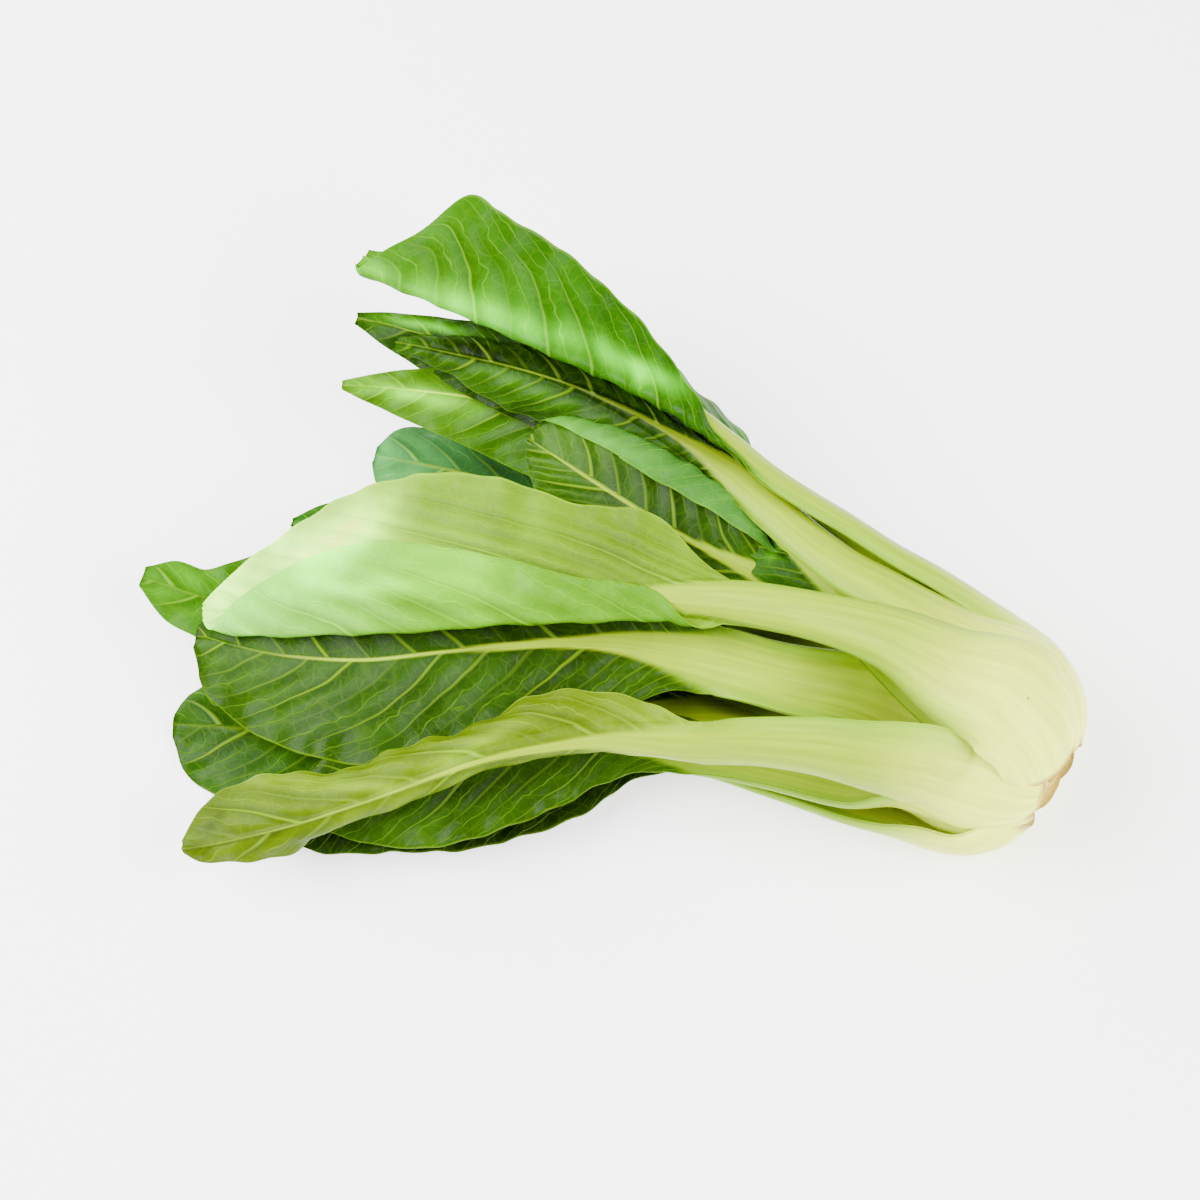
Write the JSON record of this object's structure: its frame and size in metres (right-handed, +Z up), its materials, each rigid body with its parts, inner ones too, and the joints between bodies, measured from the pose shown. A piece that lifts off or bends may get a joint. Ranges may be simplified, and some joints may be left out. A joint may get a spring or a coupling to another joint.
{
  "type": "bok choy",
  "caption": "Head of green-stemmed bok choy lying on its side, pale stalks clasping into a bulb at the cut root and broad green leaves fanned out.",
  "frame": {"origin": "centre of the footprint, on the surface that the head lies on", "axes": "+Z up; +X from the leaf tips toward the cut root; +Y toward the far, upright leaves"},
  "size_m": [0.234, 0.1592, 0.0653],
  "materials": {
    "cut_stem": "matte",
    "stalk_flesh": "satin",
    "blade_pale": "satin",
    "blade_bright": "satin",
    "blade_deep": "satin",
    "blade_bluish": "satin"
  },
  "bodies": {
    "root": {"stem_base": "cut_stem", "stalk_01": "stalk_flesh", "blade_01": "blade_pale", "stalk_02": "stalk_flesh", "blade_02": "blade_bright", "stalk_03": "stalk_flesh", "blade_03": "blade_pale", "stalk_04": "stalk_flesh", "blade_04": "blade_deep", "stalk_05": "stalk_flesh", "blade_05": "blade_deep", "stalk_06": "stalk_flesh", "blade_06": "blade_deep", "stalk_07": "stalk_flesh", "blade_07": "blade_deep", "stalk_08": "stalk_flesh", "blade_08": "blade_bright", "stalk_09": "stalk_flesh", "blade_09": "blade_deep", "stalk_10": "stalk_flesh", "blade_10": "blade_deep", "stalk_11": "stalk_flesh", "blade_11": "blade_pale", "stalk_12": "stalk_flesh", "blade_12": "blade_deep", "stalk_13": "stalk_flesh", "blade_13": "blade_bluish", "stalk_14": "stalk_flesh", "blade_14": "blade_deep", "stalk_15": "stalk_flesh", "blade_15": "blade_bluish", "stalk_16": "stalk_flesh", "blade_16": "blade_bluish"}
  },
  "joints": []
}
